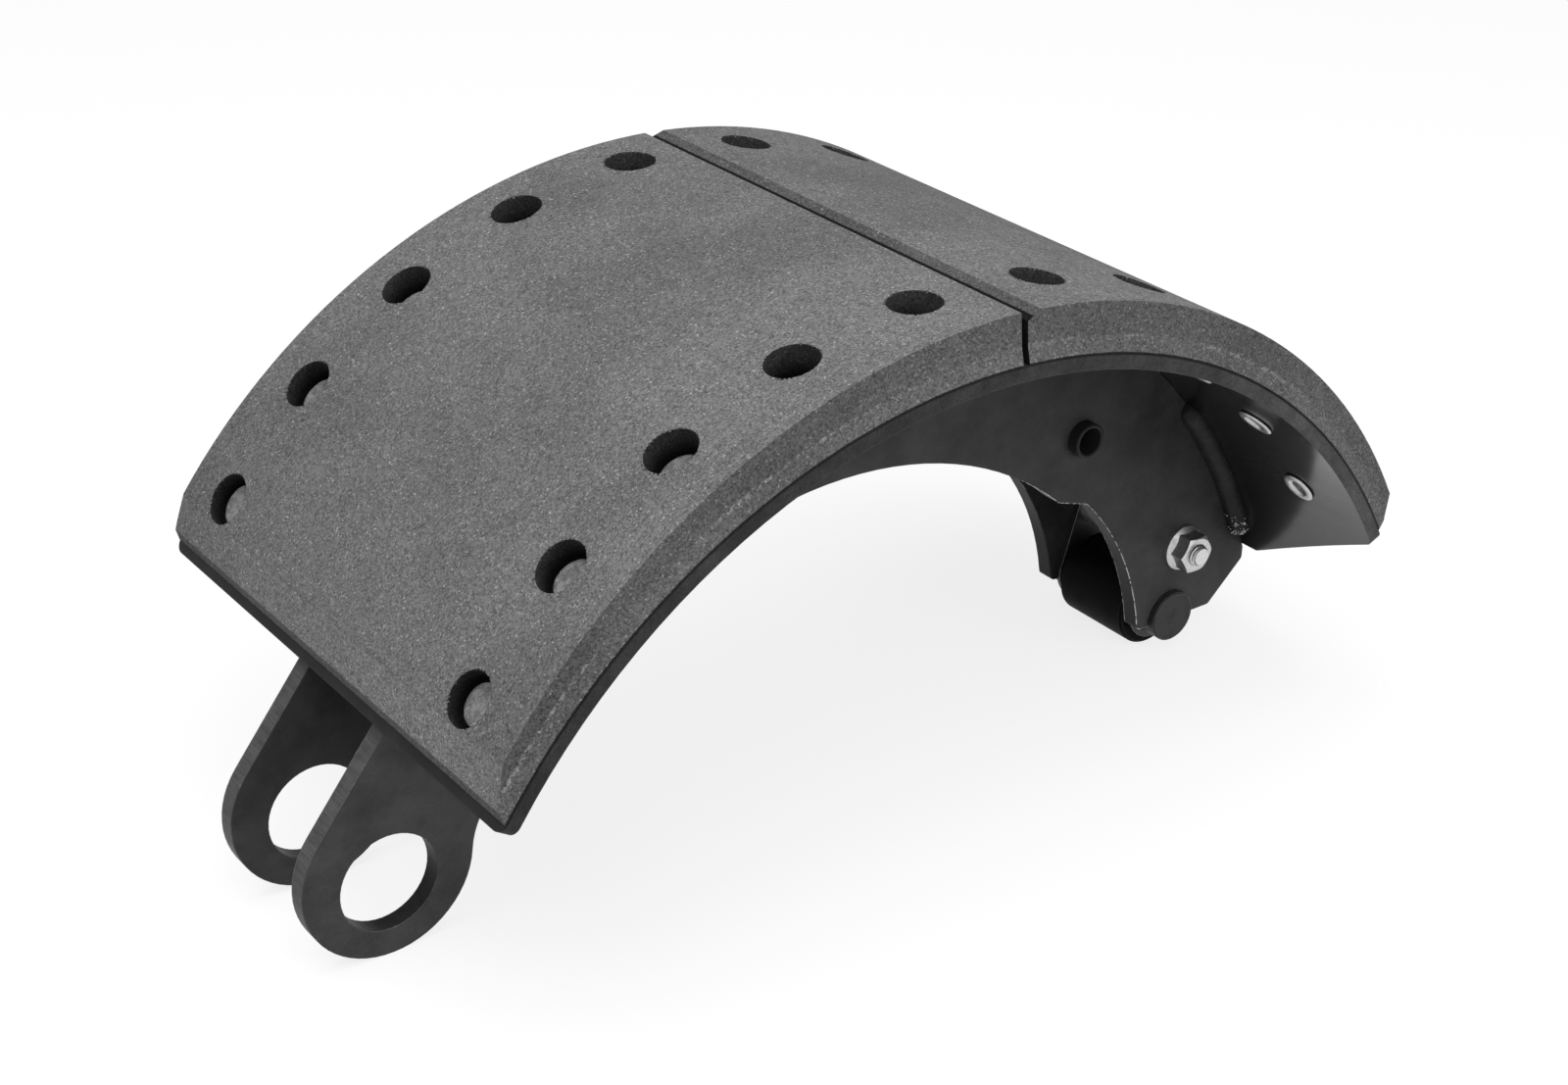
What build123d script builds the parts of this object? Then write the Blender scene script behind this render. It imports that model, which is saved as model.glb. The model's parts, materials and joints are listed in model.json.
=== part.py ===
"""Drum brake shoe with two riveted linings, an anchor eye and a cam roller.

The origin is the centre of the anchor bore, midway between the two webs.
+X runs from the anchor end to the cam end, +Y across the shoe, and +Z points outward
through the crown of the linings. The anchor eyes and the roller touch one level plane.

Angles of features on the arc are in degrees about the shoe axis, the centre of the
table's curve, counted from +Z towards +X. Lengths are in millimetres.
"""
from build123d import *
from math import acos, asin, atan2, cos, degrees, radians, sin, sqrt, tan
import os

# ---- drum that the linings are ground to; the table's curve follows from it ----
drum_radius = 206.5
drum_offset = 11.46
drum_offset_angle = 7.4
lining_thickness = 15.41
lining_seat_gap = 0.15

# ---- table, the curved plate that carries the linings ----
table_thickness = 4.8
table_width = 201.4
table_near_edge = -96.1
table_anchor_angle = -57.2
table_corner_radius = 4.0
table_shoulder_angle = 61.0
table_shoulder_radius = 3.5
table_tongue_angle = 71.5
table_tongue_width = 76.0

# ---- webs, two equal plates under the table; depths are measured inward from it ----
web_thickness = 6.4
web_gap = 39.6
web_depth = 56.75
web_seat_clearance = 0.05

# ---- anchor eyes and the necks that carry them ----
anchor_depth = 20.95
anchor_angle = -72.2
anchor_bore_radius = 16.4
anchor_eye_radius = 28.7
anchor_eye_lift = 3.3
neck_angle = -51.6
neck_slope = 35.6
neck_root_radius = 27.0
neck_blend_radius = 24.0

# ---- cam end of the webs ----
pin_depth = 39.45
pin_centre_angle = 73.81
cam_relief_radius = 105.2
cam_relief_bite = 6.5
cam_relief_angle = 51.3
relief_start_angle = 41.5
relief_shoulder_slope = -17.4
relief_shoulder_run = 11.0
relief_knee_radius = 4.0
relief_root_radius = 7.0
tip_below_pin = 2.4
tip_lip_radius = 2.2
heel_run = 20.7
heel_slope = 43.3
heel_reach = 36.2
heel_corner_radius = 1.5

# ---- linings, flush with the table's sides and thinner towards their ends ----
lining_gap = 2.3
lining_gap_angle = 2.45
lining_band_height = 5.3
lining_band_inset = 1.7
lining_near_inset = 3.7
lining_far_inset = 8.7
lining_crown_height = 13.0
anchor_lining_end_angle = -56.3
anchor_lining_face_height = 3.9
anchor_lining_face_lean = 0.8
anchor_lining_bevel_angle = -52.1
cam_lining_end_angle = 60.1
cam_lining_face_height = 4.3
cam_lining_bevel_angle = 58.4
gap_face_height = 12.5
gap_bevel_angle = 4.1

# ---- rivets, two columns of rows on each lining ----
rivet_rows = 5
rivet_pitch_angle = 11.75
rivet_edge_distance = 27.3
anchor_first_row_angle = -3.0
cam_first_row_angle = 9.4
counterbore_radius = 8.45
rivet_land = 3.2
rivet_shank_radius = 4.0
rivet_hole_clearance = 0.15
rivet_seat_clearance = 0.03
rivet_head_radius = 6.9
rivet_head_height = 1.5
rivet_bore_radius = 2.7
rivet_bore_depth = 7.0
rivet_rim_radius = 6.3
rivet_rim_height = 0.8

# ---- roller, its pin and the retainer that keeps the pin in its notches ----
roller_radius = 15.5
roller_length = 32.6
roller_chamfer = 1.0
roller_near_play = 0.3
roller_running_clearance = 0.06
pin_radius = 9.5
pin_proud = 3.1
pin_chamfer = 0.6
pin_seat_clearance = 0.15
retainer_thickness = 1.5
retainer_side_clearance = 0.1
retainer_foot_radius = 12.0
retainer_top_radius = 8.6
retainer_bridge_clearance = 0.4
retainer_bend_radius = 2.0

# ---- M8 bolt, flange nut and the spacer between the retainer's legs ----
bolt_depth = 26.55
bolt_centre_angle = 65.7
bolt_radius = 4.0
bolt_hole_clearance = 0.4
thread_clearance = 0.05
bolt_proud = 2.0
bolt_chamfer = 0.8
hex_across_flats = 13.0
hex_corner_chamfer = 0.7
nut_height = 8.0
nut_countersink = 0.9
head_height = 7.4
flange_radius = 8.6
flange_rim_height = 1.2
flange_cone_height = 1.4
spacer_radius = 8.4
spacer_bore_clearance = 0.3

# ---- spring tube through both webs ----
tube_depth = 34.15
tube_centre_angle = 38.4
tube_radius = 6.25
tube_bore_radius = 4.8
tube_proud = 4.5
tube_seat_clearance = 0.05
tube_edge_chamfer = 0.4

# ---- fillet welds between each web's outer face and the table ----
weld_leg = 5.6
weld_throat = 4.6
cam_weld_start_angle = 49.0
cam_weld_end_angle = 70.2
anchor_weld_start_angle = -55.5
anchor_weld_end_angle = -40.5

# ---- sizes that follow from the ones above ----
lining_seat_radius = drum_radius + drum_offset - lining_thickness
table_outer_radius = lining_seat_radius - lining_seat_gap
table_inner_radius = table_outer_radius - table_thickness
table_far_edge = table_near_edge + table_width
table_middle = table_near_edge + table_width / 2
web_outer_radius = table_inner_radius - web_seat_clearance
web_inner_radius = web_outer_radius - web_depth
anchor_radius = web_outer_radius - anchor_depth
web_inner_face = web_gap / 2
web_outer_face = web_inner_face + web_thickness
rivet_seat_radius = lining_seat_radius + rivet_land
rivet_hole_radius = rivet_shank_radius + rivet_hole_clearance
leg_outer_face = web_inner_face - retainer_side_clearance
leg_inner_face = leg_outer_face - retainer_thickness
bolt_hole_radius = bolt_radius + bolt_hole_clearance
pin_notch_radius = pin_radius + pin_seat_clearance
reach = 2 * drum_radius


def direction(angle):
    """Unit vector in the XZ plane, at an angle from +Z towards +X."""
    return Vector(sin(radians(angle)), cos(radians(angle)))


shoe_axis = direction(anchor_angle) * -anchor_radius


def on_arc(radius, angle):
    """Point of the XZ plane at a radius and an angle about the shoe axis."""
    return shoe_axis + direction(angle) * radius


anchor_centre = on_arc(anchor_radius, anchor_angle)
eye_centre = anchor_centre + Vector(0, anchor_eye_lift)
pin_centre = on_arc(web_outer_radius - pin_depth, pin_centre_angle)
bolt_centre = on_arc(web_outer_radius - bolt_depth, bolt_centre_angle)
tube_centre = on_arc(web_outer_radius - tube_depth, tube_centre_angle)
drum_axis = on_arc(drum_offset, drum_offset_angle)


def drum_reach(angle):
    """Distance from the shoe axis to the drum's surface at an angle."""
    turn = radians(angle - drum_offset_angle)
    return drum_offset * cos(turn) + sqrt(drum_radius**2 - (drum_offset * sin(turn)) ** 2)


# ---- shapes in the XZ plane and the solids made from them ----
def disc(centre, radius):
    return Pos(centre.X, centre.Y) * Circle(radius)


def outline(*points):
    """Flat shape through corner points, given in either direction round."""
    corners = [(point.X, point.Y) for point in points]
    shape = Polygon(*corners, align=None)
    if shape.face().normal_at().Z < 0:
        shape = Polygon(*reversed(corners), align=None)
    return shape


def sector(inner_radius, outer_radius, start_angle, end_angle):
    """Part of a ring about the shoe axis."""
    middle_angle = (start_angle + end_angle) / 2
    wedge = outline(
        shoe_axis,
        on_arc(reach, start_angle),
        on_arc(reach, middle_angle),
        on_arc(reach, end_angle),
    )
    return (disc(shoe_axis, outer_radius) - disc(shoe_axis, inner_radius)) & wedge


def belt(first_centre, first_radius, second_centre, second_radius):
    """Two discs joined by their outer tangents."""
    line = second_centre - first_centre
    heading = atan2(line.Y, line.X)
    spread = acos((first_radius - second_radius) / line.length)
    left = Vector(cos(heading + spread), sin(heading + spread))
    right = Vector(cos(heading - spread), sin(heading - spread))
    strap = outline(
        first_centre + left * first_radius,
        first_centre + right * first_radius,
        second_centre + right * second_radius,
        second_centre + left * second_radius,
    )
    return strap + disc(first_centre, first_radius) + disc(second_centre, second_radius)


def rounded(shape, corner, radius):
    """Round the corner of a flat shape that lies nearest to a point."""
    nearest = shape.vertices().sort_by_distance((corner.X, corner.Y, 0))[0]
    return fillet(nearest, radius)


def plate(shape, low_y, high_y):
    """Carry a flat shape from low_y to high_y."""
    return Pos(0, high_y, 0) * extrude(Plane.XZ * shape, high_y - low_y)


def rod(centre, radius, low_y, high_y):
    return plate(disc(centre, radius), low_y, high_y)


def ring(*profile):
    """Solid turned about the shoe axis from points of (y, radius)."""
    section = Pos(shoe_axis.X, 0, shoe_axis.Y) * (Plane.YZ * Polygon(*profile, align=None))
    return revolve(section, Axis((shoe_axis.X, 0, shoe_axis.Y), (0, 1, 0)))


def radial_plane(angle, y=0.0):
    """Plane with x along the arc, y across the shoe and z outward from its axis."""
    outward = direction(angle)
    return Plane(
        origin=(shoe_axis.X, y, shoe_axis.Y),
        x_dir=(outward.Y, 0, -outward.X),
        z_dir=(outward.X, 0, outward.Y),
    )


def radial_rod(angle, y, radius, low, high):
    """Cylinder along the radius at an angle, from one distance to another."""
    stick = Pos(0, 0, low) * Cylinder(radius, high - low, align=(Align.CENTER, Align.CENTER, Align.MIN))
    return radial_plane(angle, y) * stick


# ---- places of the rivets ----
rivet_sites = {}
for lining, first_angle, step in (
    ("anchor", anchor_first_row_angle, -rivet_pitch_angle),
    ("cam", cam_first_row_angle, rivet_pitch_angle),
):
    for row in range(rivet_rows):
        for side, hand in (("near", -1), ("far", 1)):
            rivet_y = table_middle + hand * (table_width / 2 - rivet_edge_distance)
            rivet_sites[f"{lining}_rivet_{row + 1}_{side}"] = (first_angle + row * step, rivet_y)


# ---- table ----
def make_table():
    spare_angle = 5
    curve = sector(
        table_inner_radius,
        table_outer_radius,
        table_anchor_angle - spare_angle,
        table_tongue_angle + spare_angle,
    )
    blank = plate(curve, table_near_edge - table_thickness, table_far_edge + table_thickness)
    cut_angle = (table_shoulder_angle + table_tongue_angle) / 2
    shoulder = table_outer_radius * sin(radians(table_shoulder_angle - cut_angle))
    tongue = table_outer_radius * sin(radians(table_tongue_angle - cut_angle))
    half_width = table_width / 2
    half_tongue = table_tongue_width / 2
    cam_end = Polygon(
        (-reach, -half_width),
        (shoulder, -half_width),
        (tongue, -half_tongue),
        (tongue, half_tongue),
        (shoulder, half_width),
        (-reach, half_width),
        align=None,
    )
    cam_end = fillet(cam_end.vertices().filter_by(lambda v: v.X > -reach / 2), table_shoulder_radius)
    anchor_end = Pos(reach / 2, 0) * Rectangle(reach, table_width)
    anchor_end = fillet(anchor_end.vertices().filter_by(lambda v: v.X < reach / 2), table_corner_radius)
    cam_plane = radial_plane(cut_angle, table_middle)
    anchor_plane = radial_plane(table_anchor_angle, table_middle)
    table = blank & (cam_plane * extrude(cam_end, reach, both=True))
    table = table & (anchor_plane * extrude(anchor_end, reach, both=True))
    for angle, y in rivet_sites.values():
        table -= radial_rod(angle, y, rivet_hole_radius, table_inner_radius - 1, table_outer_radius + 1)
    return table


# ---- webs ----
def make_web_outline():
    table_corner = on_arc(web_outer_radius, table_anchor_angle)
    arc_corner = on_arc(web_inner_radius, neck_angle)
    slope = Vector(cos(radians(neck_slope)), sin(radians(neck_slope)))
    neck_foot = arc_corner + slope * (eye_centre - arc_corner).dot(slope)
    to_corner = table_corner - eye_centre
    touch_angle = atan2(to_corner.Y, to_corner.X) + acos(anchor_eye_radius / to_corner.length)
    neck = outline(
        eye_centre,
        eye_centre + Vector(cos(touch_angle), sin(touch_angle)) * anchor_eye_radius,
        table_corner,
        on_arc(web_outer_radius, neck_angle),
        arc_corner,
        neck_foot,
    )
    web = sector(web_inner_radius, web_outer_radius, neck_angle, 90)
    rim = sector(web_outer_radius - web_thickness, web_outer_radius, table_anchor_angle, neck_angle)
    web = web + disc(eye_centre, anchor_eye_radius) + neck + rim

    # the relief that clears the cam shaft, under a short sloping shoulder
    knee = on_arc(web_inner_radius, relief_start_angle)
    fall = Vector(cos(radians(relief_shoulder_slope)), sin(radians(relief_shoulder_slope)))
    below = outline(
        knee - fall * web_inner_radius,
        knee + fall * web_inner_radius,
        knee + fall * web_inner_radius + Vector(0, -reach),
        knee - fall * web_inner_radius + Vector(0, -reach),
    )
    relief_centre = on_arc(web_inner_radius + cam_relief_bite - cam_relief_radius, cam_relief_angle)
    relief = disc(relief_centre, cam_relief_radius) & below
    web -= relief

    # the tip stops just below the pin, with a sloping heel behind it
    tip_level = pin_centre.Y - tip_below_pin
    heel_rise = (heel_reach - heel_run) * tan(radians(heel_slope))
    heel_x = pin_centre.X + heel_reach
    web -= outline(
        Vector(relief_centre.X, tip_level),
        Vector(pin_centre.X + heel_run, tip_level),
        Vector(heel_x, tip_level + heel_rise),
        Vector(heel_x, tip_level + reach),
        Vector(heel_x + reach, tip_level - reach),
        Vector(relief_centre.X, tip_level - reach),
    )
    web = rounded(web, knee, relief_knee_radius)
    web = rounded(web, knee + fall * relief_shoulder_run, relief_root_radius)
    web = rounded(web, Vector(heel_x, tip_level + heel_rise), heel_corner_radius)
    web = rounded(web, Vector(pin_centre.X + heel_run, tip_level), heel_corner_radius)
    web = rounded(web, relief_centre + Vector(cam_relief_radius, 0), tip_lip_radius)
    web -= disc(pin_centre, pin_notch_radius)

    root = neck_foot + slope * sqrt(anchor_eye_radius**2 - (neck_foot - eye_centre).length ** 2)
    web = rounded(web, root, neck_root_radius)
    web = rounded(web, arc_corner, neck_blend_radius)
    web -= disc(anchor_centre, anchor_bore_radius)
    web -= disc(bolt_centre, bolt_hole_radius)
    web -= disc(tube_centre, tube_radius + tube_seat_clearance)
    return web


# ---- linings ----
def lining_end(base_angle, face_height, face_angle, crest_angle):
    """Points up one end of a lining: its foot, the top of its face and past its bevel."""
    foot = on_arc(lining_seat_radius, base_angle)
    face_top = on_arc(lining_seat_radius + face_height, face_angle)
    crest = on_arc(drum_reach(crest_angle), crest_angle)
    return [foot, face_top, crest + (crest - face_top) * 2]


def make_lining(name, first_end, last_end):
    middle_angle = (anchor_lining_end_angle + lining_gap_angle) / 2
    if name == "cam":
        middle_angle = (cam_lining_end_angle + lining_gap_angle) / 2
    block = disc(drum_axis, drum_radius) - disc(shoe_axis, lining_seat_radius)
    block = block & outline(shoe_axis, *first_end, on_arc(reach, middle_angle), *reversed(last_end))
    band_radius = table_outer_radius + lining_band_height
    crown_radius = band_radius + lining_crown_height
    cross_section = ring(
        (table_near_edge, table_inner_radius),
        (table_near_edge, lining_seat_radius),
        (table_near_edge + lining_band_inset, band_radius),
        (table_near_edge + lining_near_inset, crown_radius),
        (table_far_edge - lining_far_inset, crown_radius),
        (table_far_edge - lining_band_inset, band_radius),
        (table_far_edge, lining_seat_radius),
        (table_far_edge, table_inner_radius),
    )
    solid = plate(block, table_near_edge - 1, table_far_edge + 1) & cross_section
    for site, (angle, y) in rivet_sites.items():
        if site.startswith(name):
            solid -= radial_rod(angle, y, rivet_hole_radius, table_outer_radius - 1, rivet_seat_radius + 1)
            solid -= radial_rod(angle, y, counterbore_radius, rivet_seat_radius, reach)
    return solid


# ---- rivets ----
def make_rivet():
    """Set semi-tubular rivet, its axis along z, the shoe axis far below at z = 0."""
    rim_sag = table_inner_radius - sqrt(table_inner_radius**2 - rivet_rim_radius**2)
    rim_top = table_inner_radius - rim_sag - rivet_seat_clearance
    rim_crest = rim_top - rivet_rim_height
    head_bottom = rivet_seat_radius + rivet_seat_clearance
    head_top = head_bottom + rivet_head_height
    bore_top = rim_crest + rivet_bore_depth
    section = Polyline(
        (0, head_top),
        (rivet_head_radius, head_top),
        (rivet_head_radius, head_bottom),
        (rivet_shank_radius, head_bottom),
        (rivet_shank_radius, rim_top),
        (rivet_rim_radius, rim_top),
        (rivet_rim_radius, rim_crest),
        (rivet_bore_radius, rim_crest),
        (rivet_bore_radius, bore_top),
        (0, bore_top),
        close=True,
    )
    return revolve(Plane.XZ * make_face(section), Axis.Z)


# ---- roller and pin ----
def make_roller():
    near_end = -leg_inner_face + roller_near_play
    far_end = near_end + roller_length
    roller = rod(pin_centre, roller_radius, near_end, far_end)
    roller = chamfer(roller.edges().filter_by(GeomType.CIRCLE), roller_chamfer)
    return roller - rod(pin_centre, pin_radius + roller_running_clearance, near_end, far_end)


def make_pin():
    half_length = web_outer_face + pin_proud
    pin = rod(pin_centre, pin_radius, -half_length, half_length)
    return chamfer(pin.edges().filter_by(GeomType.CIRCLE), pin_chamfer)


# ---- retainer, one strip folded to a U over the spacer ----
def make_retainer():
    upward = (bolt_centre - pin_centre).normalized()
    bridge_inside = spacer_radius + retainer_bend_radius + retainer_bridge_clearance
    bridge_outside = bridge_inside + retainer_thickness
    foot_below = (bolt_centre - pin_centre).length + retainer_foot_radius + 1
    across = Plane(
        origin=(bolt_centre.X, 0, bolt_centre.Y),
        x_dir=(0, 1, 0),
        z_dir=(upward.Y, 0, -upward.X),
    )

    def channel(half_width, top, corner_radius):
        box = Pos(0, (top - foot_below) / 2) * Rectangle(2 * half_width, top + foot_below)
        return fillet(box.vertices().filter_by(lambda v: v.Y > 0), corner_radius)

    strip = channel(leg_outer_face, bridge_outside, retainer_bend_radius + retainer_thickness)
    hollow = Pos(0, -retainer_thickness) * channel(leg_inner_face, bridge_outside, retainer_bend_radius)
    folded = across * extrude(strip - hollow, retainer_foot_radius, both=True)
    leg = belt(pin_centre, retainer_foot_radius, bolt_centre, retainer_top_radius)
    leg += belt(bolt_centre, retainer_top_radius, bolt_centre + upward * bridge_outside, retainer_top_radius)
    leg -= disc(pin_centre, pin_notch_radius)
    leg -= disc(bolt_centre, bolt_hole_radius)
    return folded & plate(leg, -web_inner_face, web_inner_face)


# ---- bolt, nut and spacer, turned about z and then laid along the bolt's axis ----
def along_bolt(solid, y):
    """Stand a turned solid on a web: its z = 0 face at y, its z axis away from the webs."""
    outward = -1 if y < 0 else 1
    seat = Plane(
        origin=(bolt_centre.X, y, bolt_centre.Y),
        x_dir=(1, 0, 0),
        z_dir=(0, outward, 0),
    )
    return seat * solid


def make_flanged_hex(height):
    """Hexagon on a round flange, both standing on z = 0."""
    corner_radius = hex_across_flats / sqrt(3)
    hexagon = extrude(RegularPolygon(corner_radius, 6), height)
    turned = Polyline(
        (0, 0),
        (flange_radius, 0),
        (flange_radius, flange_rim_height),
        (corner_radius, flange_rim_height + flange_cone_height),
        (corner_radius, height - hex_corner_chamfer),
        (corner_radius - 2 * hex_corner_chamfer, height),
        (0, height),
        close=True,
    )
    envelope = revolve(Plane.XZ * make_face(turned), Axis.Z)
    flange = Polyline(
        (0, 0),
        (flange_radius, 0),
        (flange_radius, flange_rim_height),
        (hex_across_flats / 2, flange_rim_height + flange_cone_height),
        (0, flange_rim_height + flange_cone_height),
        close=True,
    )
    return (hexagon & envelope) + revolve(Plane.XZ * make_face(flange), Axis.Z)


def make_nut():
    bore_radius = bolt_radius + thread_clearance
    bore = Cylinder(bore_radius, 3 * nut_height)
    countersink = Pos(0, 0, nut_height) * Cone(
        bore_radius - nut_countersink, bore_radius + nut_countersink, 2 * nut_countersink
    )
    return along_bolt(make_flanged_hex(nut_height) - bore - countersink, -web_outer_face)


def make_bolt():
    head = along_bolt(make_flanged_hex(head_height), web_outer_face)
    end_y = -web_outer_face - nut_height - bolt_proud
    shank = rod(bolt_centre, bolt_radius, end_y, web_outer_face)
    tip = shank.edges().filter_by(GeomType.CIRCLE).sort_by(Axis.Y)[0]
    return head + chamfer(tip, bolt_chamfer)


def make_spacer():
    sleeve = rod(bolt_centre, spacer_radius, -leg_inner_face, leg_inner_face)
    return sleeve - rod(bolt_centre, bolt_radius + spacer_bore_clearance, -leg_inner_face, leg_inner_face)


# ---- spring tube ----
def make_tube():
    half_length = web_outer_face + tube_proud
    tube = rod(tube_centre, tube_radius, -half_length, half_length)
    tube -= rod(tube_centre, tube_bore_radius, -half_length, half_length)
    return chamfer(tube.edges().filter_by(GeomType.CIRCLE), tube_edge_chamfer)


# ---- weld beads ----
def make_weld(side, start_angle, end_angle):
    """Fillet bead in the corner of web and table, on the near (-1) or far (1) web."""
    face = side * (web_outer_face + web_seat_clearance)
    toe = face + side * weld_leg
    middle = weld_throat / sqrt(2)
    bead = ring(
        (face, web_outer_radius),
        (toe, web_outer_radius),
        (face + side * middle, web_outer_radius - middle),
        (face, web_outer_radius - weld_leg),
    )
    return bead & plate(sector(web_inner_radius, web_outer_radius, start_angle, end_angle), -reach, reach)


# ---- build every piece and write it ----
web_outline = make_web_outline()
gap_half_angle = degrees(asin(lining_gap / 2 / lining_seat_radius))
anchor_gap_angle = lining_gap_angle - gap_half_angle
cam_gap_angle = lining_gap_angle + gap_half_angle

pieces = {
    "shoe_table": make_table(),
    "near_web": plate(web_outline, -web_outer_face, -web_inner_face),
    "far_web": plate(web_outline, web_inner_face, web_outer_face),
    "anchor_lining": make_lining(
        "anchor",
        lining_end(
            anchor_lining_end_angle,
            anchor_lining_face_height,
            anchor_lining_end_angle + anchor_lining_face_lean,
            anchor_lining_bevel_angle,
        ),
        lining_end(anchor_gap_angle, gap_face_height, anchor_gap_angle, anchor_gap_angle),
    ),
    "cam_lining": make_lining(
        "cam",
        lining_end(cam_gap_angle, gap_face_height, cam_gap_angle, gap_bevel_angle),
        lining_end(
            cam_lining_end_angle,
            cam_lining_face_height,
            cam_lining_end_angle,
            cam_lining_bevel_angle,
        ),
    ),
    "roller": make_roller(),
    "roller_pin": make_pin(),
    "roller_retainer": make_retainer(),
    "retainer_bolt": make_bolt(),
    "retainer_nut": make_nut(),
    "bolt_spacer": make_spacer(),
    "spring_tube": make_tube(),
    "near_cam_weld": make_weld(-1, cam_weld_start_angle, cam_weld_end_angle),
    "far_cam_weld": make_weld(1, cam_weld_start_angle, cam_weld_end_angle),
    "near_anchor_weld": make_weld(-1, anchor_weld_start_angle, anchor_weld_end_angle),
    "far_anchor_weld": make_weld(1, anchor_weld_start_angle, anchor_weld_end_angle),
}
rivet = make_rivet()
for site, (angle, y) in rivet_sites.items():
    pieces[site] = radial_plane(angle, y) * rivet

os.makedirs("parts", exist_ok=True)
for name, solid in pieces.items():
    export_step(solid, f"parts/{name}.step")
print(len(pieces), "pieces")
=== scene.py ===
# %% [markdown]
# # A riveted drum brake shoe
# The shoe is a curved steel table on two webs, with two friction linings riveted to it. One end
# swings on an anchor pin, and the other carries a roller that the brake's cam pushes.
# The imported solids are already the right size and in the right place, so this script adds what
# solids leave out: rolled rivet rims, weld ripples, a thread, chipped edges and every finish.

# %% Load the frame
import bmesh
import bpy
import json
from math import pi, radians
from mathutils import Matrix, Vector


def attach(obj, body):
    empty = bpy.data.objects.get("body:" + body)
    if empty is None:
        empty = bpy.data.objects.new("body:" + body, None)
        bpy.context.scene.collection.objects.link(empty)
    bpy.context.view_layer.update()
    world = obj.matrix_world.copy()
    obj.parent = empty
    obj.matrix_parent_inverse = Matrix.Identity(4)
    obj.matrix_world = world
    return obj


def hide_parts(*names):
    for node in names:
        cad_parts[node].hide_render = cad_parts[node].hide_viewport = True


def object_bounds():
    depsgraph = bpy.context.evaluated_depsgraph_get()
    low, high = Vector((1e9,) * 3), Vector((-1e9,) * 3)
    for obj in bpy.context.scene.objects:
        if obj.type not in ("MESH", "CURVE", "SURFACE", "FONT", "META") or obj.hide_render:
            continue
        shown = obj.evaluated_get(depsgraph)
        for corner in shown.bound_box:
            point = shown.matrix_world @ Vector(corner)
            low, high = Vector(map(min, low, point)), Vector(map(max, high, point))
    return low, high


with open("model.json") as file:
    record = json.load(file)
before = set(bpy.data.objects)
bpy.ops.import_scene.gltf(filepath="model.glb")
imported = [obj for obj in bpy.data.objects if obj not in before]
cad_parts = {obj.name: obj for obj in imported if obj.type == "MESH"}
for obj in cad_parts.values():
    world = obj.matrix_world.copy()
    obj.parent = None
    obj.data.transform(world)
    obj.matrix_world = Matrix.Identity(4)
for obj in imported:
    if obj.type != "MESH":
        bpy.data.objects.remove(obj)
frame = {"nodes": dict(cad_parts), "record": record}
nodes = frame["nodes"]
cad_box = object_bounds()
mm = 0.001
touching = 1e-6
print(len(nodes), "nodes, box", [round(side / mm) for side in cad_box[1] - cad_box[0]], "mm")

# %% [markdown]
# ## A small kit for node trees
# Materials and Geometry Nodes are both trees of nodes. They could be wired by hand, node by node,
# but the sums get long and hard to read. Here one method makes any node, and an output is wrapped
# so that ordinary sums, such as 1 - mask, add the Math nodes by themselves.

# %% Node trees written as sums
class Socket:
    """An output that takes part in sums; each sum adds one Math node."""

    def __init__(self, graph, output):
        self.graph = graph
        self.output = output

    def math(self, operation, *terms, clamp=False):
        settings = {"operation": operation, "use_clamp": clamp}
        return self.graph.node("ShaderNodeMath", settings, dict(enumerate(terms)))

    def other(self, name):
        """Another output of the same node."""
        return Socket(self.graph, self.output.node.outputs[name])

    def __add__(self, term):
        return self.math("ADD", self, term)

    def __radd__(self, term):
        return self.math("ADD", term, self)

    def __sub__(self, term):
        return self.math("SUBTRACT", self, term)

    def __rsub__(self, term):
        return self.math("SUBTRACT", term, self)

    def __mul__(self, term):
        return self.math("MULTIPLY", self, term)

    def __rmul__(self, term):
        return self.math("MULTIPLY", term, self)

    def __truediv__(self, term):
        return self.math("DIVIDE", self, term)

    def __pow__(self, term):
        return self.math("POWER", self, term)

    def change(self, operation, term=0.0):
        """A function of this output alone, such as FLOOR or SINE, or MODULO by a term."""
        return self.math(operation, self, term)

    def limited(self):
        """Held between 0 and 1."""
        return self.math("ADD", self, 0.0, clamp=True)

    def between(self, low, high):
        """0 below low, 1 above high and a smooth step from one to the other."""
        ends = {"Value": self, "From Min": low, "From Max": high}
        return self.graph.node("ShaderNodeMapRange", {"interpolation_type": "SMOOTHSTEP"}, ends)


# %% Trees in which one method makes every node
class Graph:
    """A node tree for a material, a world or Geometry Nodes."""

    def __init__(self, tree):
        self.tree = tree

    def node(self, kind, settings=None, inputs=None, output=0):
        made = self.tree.nodes.new(kind)
        for name, value in (settings or {}).items():
            setattr(made, name, value)
        for key, value in (inputs or {}).items():
            if isinstance(value, Socket):
                self.tree.links.new(value.output, made.inputs[key])
            else:
                made.inputs[key].default_value = value
        if len(made.outputs) == 0:
            return made
        return Socket(self, made.outputs[output])

    def vector(self, operation, *terms, output=0):
        return self.node("ShaderNodeVectorMath", {"operation": operation}, dict(enumerate(terms)), output)

    def parts(self, vector):
        """The x of a vector, with its y and z as other("Y") and other("Z")."""
        return self.node("ShaderNodeSeparateXYZ", None, {0: vector})

    def joined(self, x, y, z):
        return self.node("ShaderNodeCombineXYZ", None, {0: x, 1: y, 2: z})

    def noise(self, vector, size, detail=2.0, roughness=0.5):
        """Noise with features of a size in metres, from 0 to 1 around a half."""
        inputs = {"Vector": vector, "Scale": 1 / size, "Detail": detail, "Roughness": roughness}
        return self.node("ShaderNodeTexNoise", None, inputs)


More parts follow.
